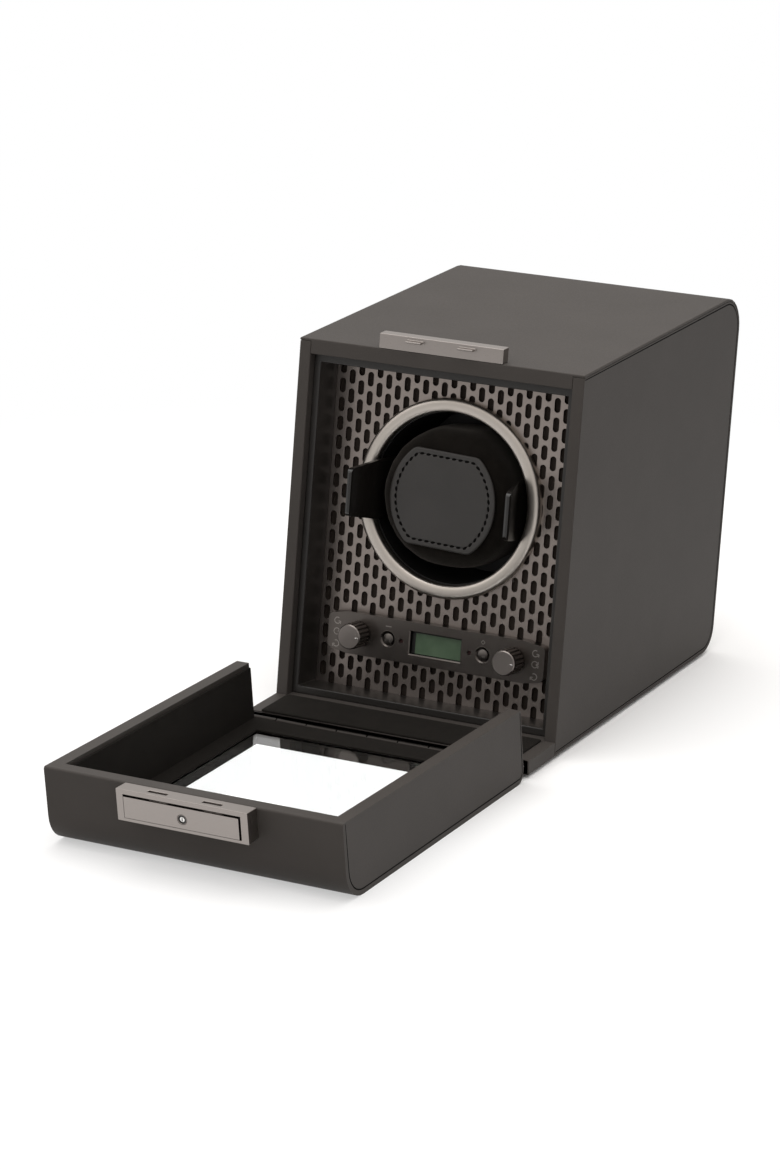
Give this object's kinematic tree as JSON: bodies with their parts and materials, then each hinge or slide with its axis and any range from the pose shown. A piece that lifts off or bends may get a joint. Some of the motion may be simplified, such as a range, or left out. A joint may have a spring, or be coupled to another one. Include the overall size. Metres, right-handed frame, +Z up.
{
  "type": "watch winder box",
  "caption": "Leather covered watch winder box with a glazed lid dropped open, perforated metal front, control plate and a winding drum with a suede watch cuff",
  "frame": {"origin": "on the table, under the middle of the box that bounds the part with its lid open", "axes": "X to the right seen from the front, Y from the open lid towards the back of the case, Z up"},
  "size_m": [0.146, 0.4163, 0.1828],
  "materials": {
    "leather": "semi-gloss dark leather",
    "suede": "dark suede, matt",
    "champagne_metal": "satin champagne coated metal",
    "gunmetal": "satin gunmetal",
    "steel": "plain steel",
    "brass": "machined brass",
    "black_plastic": "matt black plastic",
    "gloss_black": "gloss black plastic",
    "white_plastic": "white moulded plastic",
    "dark_board": "dark stained board",
    "circuit_green": "green circuit board",
    "display_green": "green liquid crystal glass",
    "lamp_red": "red lamp lens, unlit",
    "clear_glass": "clear glass",
    "rubber": "black rubber"
  },
  "bodies": {
    "case": {"case_wrap": "leather", "side_panel_left": "leather", "side_panel_right": "leather", "tongue_pad": "suede", "feet": "rubber", "inner_liner": "gloss_black", "perforated_panel": "champagne_metal", "backing_board": "dark_board", "panel_screws": "steel", "bezel_ring": "champagne_metal", "drum_housing": "black_plastic", "drum_bearing": "brass", "motor_bracket": "steel", "bracket_screws": "steel", "gear_motor": "steel", "power_jack": "gloss_black", "catch_bar": "gunmetal", "case_hinge_leaf": "gunmetal", "hinge_pin": "steel", "case_hinge_screws": "steel", "control_plate": "gunmetal", "control_tray": "black_plastic", "circuit_board": "circuit_green", "lcd_display": "black_plastic", "lcd_window": "display_green", "status_leds": "lamp_red", "rotary_switches": "steel", "button_switches": "black_plastic"},
    "drum": {"drum_cup": "black_plastic", "drum_shaft": "steel", "drum_gear": "white_plastic"},
    "pinion": {"motor_pinion": "brass"},
    "cuff": {"cuff_base": "black_plastic", "cuff_core": "black_plastic", "cuff_cushion": "suede", "cuff_patch": "leather", "wing_pins": "steel"},
    "wing_left": {"wing_left": "gloss_black"},
    "wing_right": {"wing_right": "gloss_black"},
    "knob_left": {"knob_left": "gunmetal", "knob_shaft_left": "steel"},
    "knob_right": {"knob_right": "gunmetal", "knob_shaft_right": "steel"},
    "button_left": {"button_left": "gunmetal"},
    "button_right": {"button_right": "gunmetal"},
    "lid": {"lid_frame": "leather", "lid_side_left": "leather", "lid_side_right": "leather", "lid_liner": "suede", "lid_glass": "clear_glass", "lid_glass_frame": "suede", "lid_hinge_leaf": "gunmetal", "lid_hinge_screws": "steel", "latch_housing": "gunmetal", "latch_springs": "steel"},
    "push_bar": {"latch_push_bar": "gunmetal"},
    "lock": {"lock_cylinder": "steel"}
  },
  "joints": [
    {"name": "lid", "type": "hinge", "parent": "case", "child": "lid", "pos_m": [0, -0.02405, 0.0058], "axis": [-1, 0, 0], "range_deg": [0, 97.4]},
    {"name": "push_bar", "type": "slide", "parent": "lid", "child": "push_bar", "axis": [0, 0.9917, 0.1288], "range_m": [0, 0.001], "stiffness_N_per_m": 900, "springref_m": -0.0004},
    {"name": "lock_cylinder", "type": "hinge", "parent": "push_bar", "child": "lock", "pos_m": [0, -0.20702, 0.02869], "axis": [0, 0.9917, 0.1288], "range_deg": [0, 90]},
    {"name": "drum", "type": "hinge", "parent": "case", "child": "drum", "pos_m": [0, 0.08994, 0.09799], "axis": [0, -0.9898, 0.1426], "continuous": true},
    {"name": "motor_pinion", "type": "hinge", "parent": "case", "child": "pinion", "pos_m": [0, 0.09428, 0.05796], "axis": [0, -0.9898, 0.1426], "continuous": true},
    {"name": "knob_left", "type": "hinge", "parent": "case", "child": "knob_left", "pos_m": [-0.0403, 0.02753, 0.03646], "axis": [0, -0.9898, 0.1426], "range_deg": [-27, 27]},
    {"name": "knob_right", "type": "hinge", "parent": "case", "child": "knob_right", "pos_m": [0.0403, 0.02753, 0.03646], "axis": [0, -0.9898, 0.1426], "range_deg": [-27, 27]},
    {"name": "button_left", "type": "slide", "parent": "case", "child": "button_left", "axis": [0, 0.9898, -0.1426], "range_m": [0, 0.0006], "stiffness_N_per_m": 700, "springref_m": -0.0003},
    {"name": "button_right", "type": "slide", "parent": "case", "child": "button_right", "axis": [0, 0.9898, -0.1426], "range_m": [0, 0.0006], "stiffness_N_per_m": 700, "springref_m": -0.0003},
    {"name": "cuff", "type": "slide", "parent": "drum", "child": "cuff", "axis": [0, 0.9898, -0.1426], "range_m": [-0.062, 0]},
    {"name": "wing_left", "type": "hinge", "parent": "cuff", "child": "wing_left", "pos_m": [-0.03493, 0.08173, 0.09917], "axis": [0, 0.1426, 0.9898], "range_deg": [0, 1.2], "stiffness_Nm_per_rad": 2, "springref_deg": -1.15},
    {"name": "wing_right", "type": "hinge", "parent": "cuff", "child": "wing_right", "pos_m": [0.03493, 0.08173, 0.09917], "axis": [0, -0.1426, -0.9898], "range_deg": [0, 1.2]}
  ],
  "couplings": [
    {"joint": "motor_pinion", "follows": "drum", "ratio": -3.3333},
    {"joint": "wing_right", "follows": "wing_left", "ratio": 1}
  ]
}
